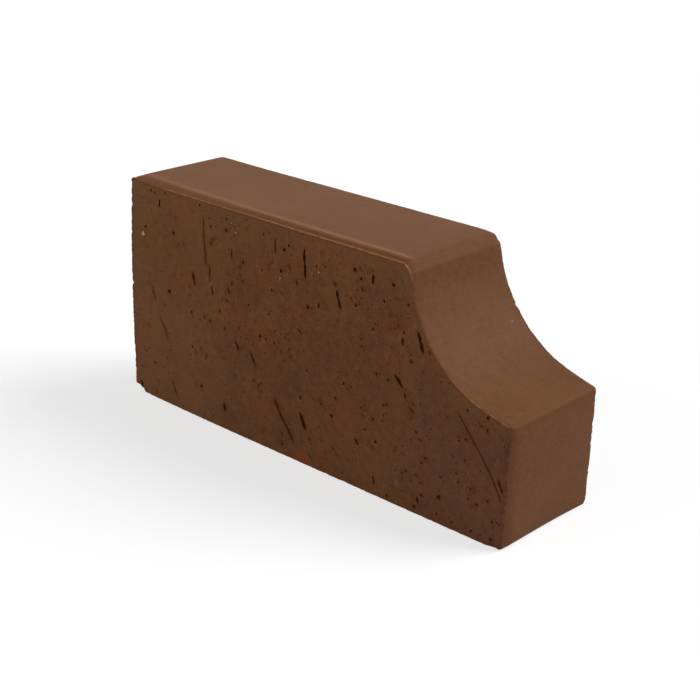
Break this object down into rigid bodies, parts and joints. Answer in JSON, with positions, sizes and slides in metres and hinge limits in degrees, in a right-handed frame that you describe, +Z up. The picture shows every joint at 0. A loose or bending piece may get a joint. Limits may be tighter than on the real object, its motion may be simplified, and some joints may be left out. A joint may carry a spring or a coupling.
{
  "type": "shaped stove brick",
  "caption": "Solid fired clay facing brick for stoves and fireplaces, with one upper corner shaped as a concave cove between a rounded nose and a sloped end.",
  "frame": {"origin": "middle of the underside, the long narrow side that the brick stands on", "axes": "+X along the length, towards the coved end; +Y through the thickness, from the wire-cut face in the picture to the one behind; +Z up"},
  "size_m": [0.25, 0.065, 0.12],
  "materials": {
    "fired_clay": "matte"
  },
  "bodies": {
    "root": {"shaped_brick": "fired_clay"}
  },
  "joints": []
}
